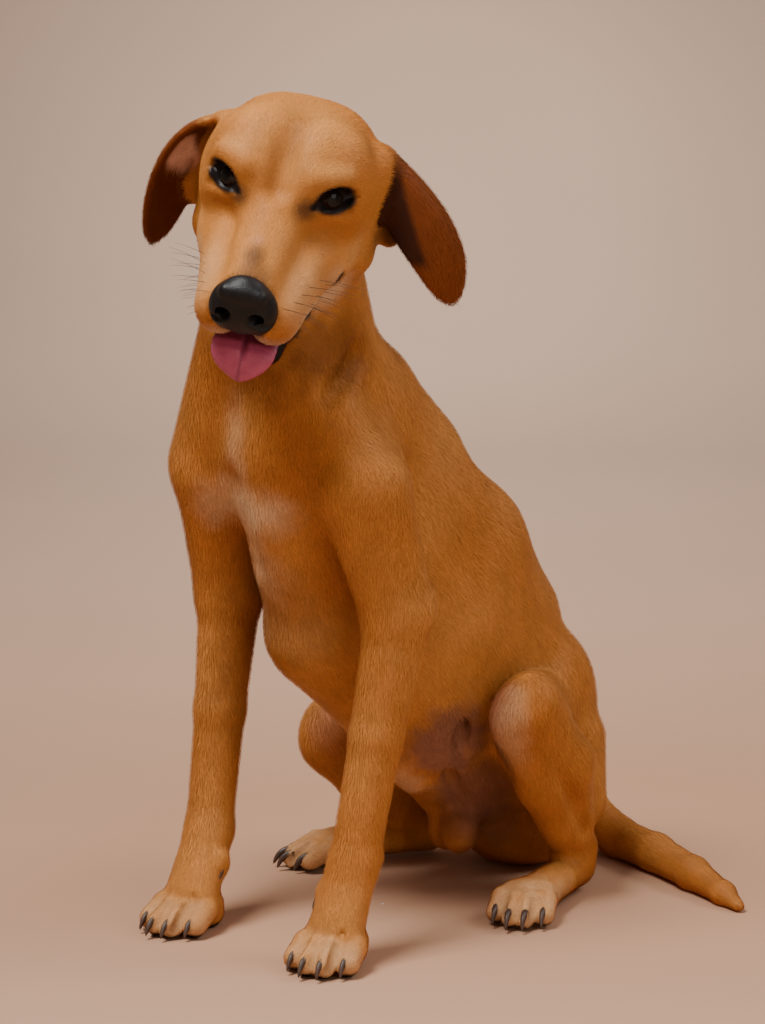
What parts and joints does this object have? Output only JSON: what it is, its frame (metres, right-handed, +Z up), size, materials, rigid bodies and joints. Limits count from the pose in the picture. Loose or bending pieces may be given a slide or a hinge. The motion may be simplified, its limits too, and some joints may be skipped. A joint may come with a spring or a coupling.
{
  "type": "dog",
  "caption": "Life-size still model of a short-coated tan dog with hanging ears, sitting upright on its rump, head turned to its left, mouth a little open",
  "frame": {"origin": "on the floor under the rump, where the dog sits", "axes": "+Z up; -Y the way the trunk and legs face; +X the dog's own left"},
  "size_m": [0.3433, 0.4448, 0.5924],
  "materials": {
    "tan_coat": "short glossy fur",
    "ear_coat": "short velvety fur",
    "eye": "wet gloss",
    "nose_leather": "moist leather",
    "tongue": "wet satin",
    "claw_horn": "satin horn"
  },
  "bodies": {
    "root": {"head": "tan_coat", "lower_jaw": "tan_coat", "neck": "tan_coat", "chest": "tan_coat", "belly": "tan_coat", "rump": "tan_coat", "foreleg_left_upper": "tan_coat", "foreleg_left_lower": "tan_coat", "foreleg_left_paw": "tan_coat", "hindleg_left_thigh": "tan_coat", "hindleg_left_shank": "tan_coat", "hindleg_left_foot": "tan_coat", "foreleg_right_upper": "tan_coat", "foreleg_right_lower": "tan_coat", "foreleg_right_paw": "tan_coat", "hindleg_right_thigh": "tan_coat", "hindleg_right_shank": "tan_coat", "hindleg_right_foot": "tan_coat", "tail_base": "tan_coat", "tail_tip": "tan_coat", "ear_left": "ear_coat", "eye_left": "eye", "ear_right": "ear_coat", "eye_right": "eye", "nose": "nose_leather", "tongue": "tongue", "claw_fore_left_1": "claw_horn", "claw_fore_left_2": "claw_horn", "claw_fore_left_3": "claw_horn", "claw_fore_left_4": "claw_horn", "claw_hind_left_1": "claw_horn", "claw_hind_left_2": "claw_horn", "claw_hind_left_3": "claw_horn", "claw_hind_left_4": "claw_horn", "dewclaw_left": "claw_horn", "claw_fore_right_1": "claw_horn", "claw_fore_right_2": "claw_horn", "claw_fore_right_3": "claw_horn", "claw_fore_right_4": "claw_horn", "claw_hind_right_1": "claw_horn", "claw_hind_right_2": "claw_horn", "claw_hind_right_3": "claw_horn", "claw_hind_right_4": "claw_horn", "dewclaw_right": "claw_horn"}
  },
  "joints": []
}
